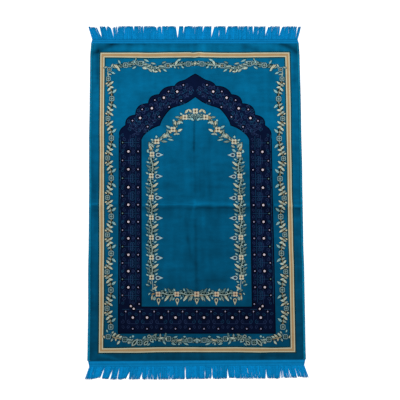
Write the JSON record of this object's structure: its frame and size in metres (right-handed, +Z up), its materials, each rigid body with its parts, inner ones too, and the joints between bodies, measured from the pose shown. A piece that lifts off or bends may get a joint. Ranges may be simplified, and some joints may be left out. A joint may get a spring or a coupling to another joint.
{
  "type": "prayer rug",
  "caption": "Flat woven velvet prayer rug with a pointed niche design, overlocked side edges and a short knotless fringe at both ends.",
  "frame": {"origin": "on the floor under the middle of the whole rug, fringes included", "axes": "+Y along the rug's length towards the apex of the niche, +X across its width, +Z up from the floor"},
  "size_m": [0.6939, 1.128, 0.0056],
  "materials": {
    "velvet_pile": "short cut velvet pile, woven pattern",
    "edge_thread": "overlocked sewing thread",
    "fringe_yarn": "satin twisted yarn"
  },
  "bodies": {
    "root": {"pile_panel": "velvet_pile", "side_edge_left": "edge_thread", "side_edge_right": "edge_thread", "fringe_top": "fringe_yarn", "fringe_bottom": "fringe_yarn"}
  },
  "joints": []
}
